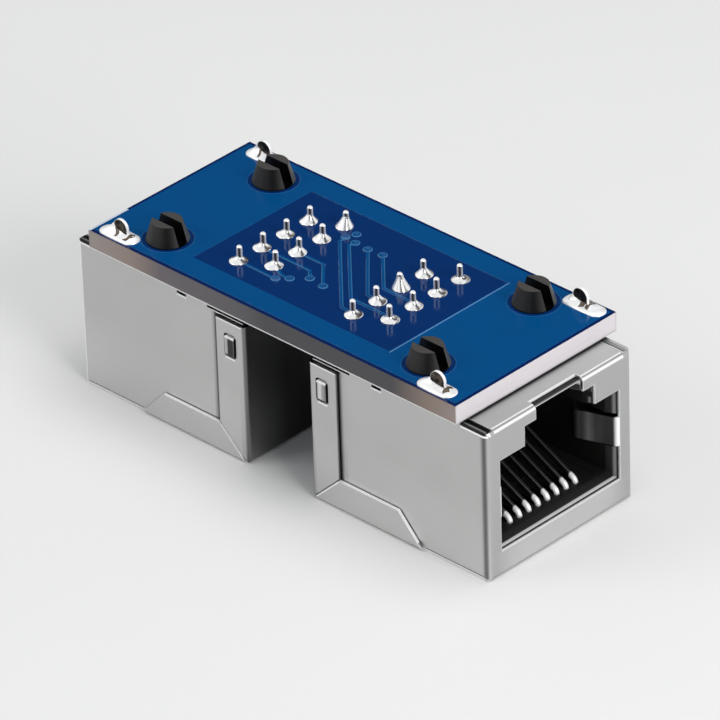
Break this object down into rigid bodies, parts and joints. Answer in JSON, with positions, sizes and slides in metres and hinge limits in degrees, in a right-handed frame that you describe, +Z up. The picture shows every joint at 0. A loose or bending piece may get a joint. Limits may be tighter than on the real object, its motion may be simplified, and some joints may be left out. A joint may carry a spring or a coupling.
{
  "type": "inline coupler",
  "caption": "Bare-board inline coupler for network cables: shielded jacks back to back under a blue circuit board, with contact tails and solder cones on its open side.",
  "frame": {"origin": "on the resting plane of the two shields' closed faces, under the middle of the board", "axes": "+X out of the mouth of jack b, along the board's length; +Y across the board; +Z up through the board to its solder side"},
  "size_m": [0.0426, 0.0174, 0.0165],
  "materials": {
    "circuit_board": "glossy blue solder mask over copper on glass-fibre board",
    "shield": "satin nickel-plated sheet",
    "housing": "moulded black, semi-gloss",
    "contact": "bright tin plate over a copper alloy",
    "solder": "bright set solder"
  },
  "bodies": {
    "root": {"circuit_board": "circuit_board", "shield_a": "shield", "housing_a": "housing", "contact_carrier_a": "housing", "contact_a1": "contact", "contact_a2": "contact", "contact_a3": "contact", "contact_a4": "contact", "contact_a5": "contact", "contact_a6": "contact", "contact_a7": "contact", "contact_a8": "contact", "pin_solder_a1": "solder", "pin_solder_a2": "solder", "pin_solder_a3": "solder", "pin_solder_a4": "solder", "pin_solder_a5": "solder", "pin_solder_a6": "solder", "pin_solder_a7": "solder", "pin_solder_a8": "solder", "tab_solder_a_right": "solder", "tab_solder_a_left": "solder", "shield_b": "shield", "housing_b": "housing", "contact_carrier_b": "housing", "contact_b1": "contact", "contact_b2": "contact", "contact_b3": "contact", "contact_b4": "contact", "contact_b5": "contact", "contact_b6": "contact", "contact_b7": "contact", "contact_b8": "contact", "pin_solder_b1": "solder", "pin_solder_b2": "solder", "pin_solder_b3": "solder", "pin_solder_b4": "solder", "pin_solder_b5": "solder", "pin_solder_b6": "solder", "pin_solder_b7": "solder", "pin_solder_b8": "solder", "tab_solder_b_right": "solder", "tab_solder_b_left": "solder"}
  },
  "joints": []
}
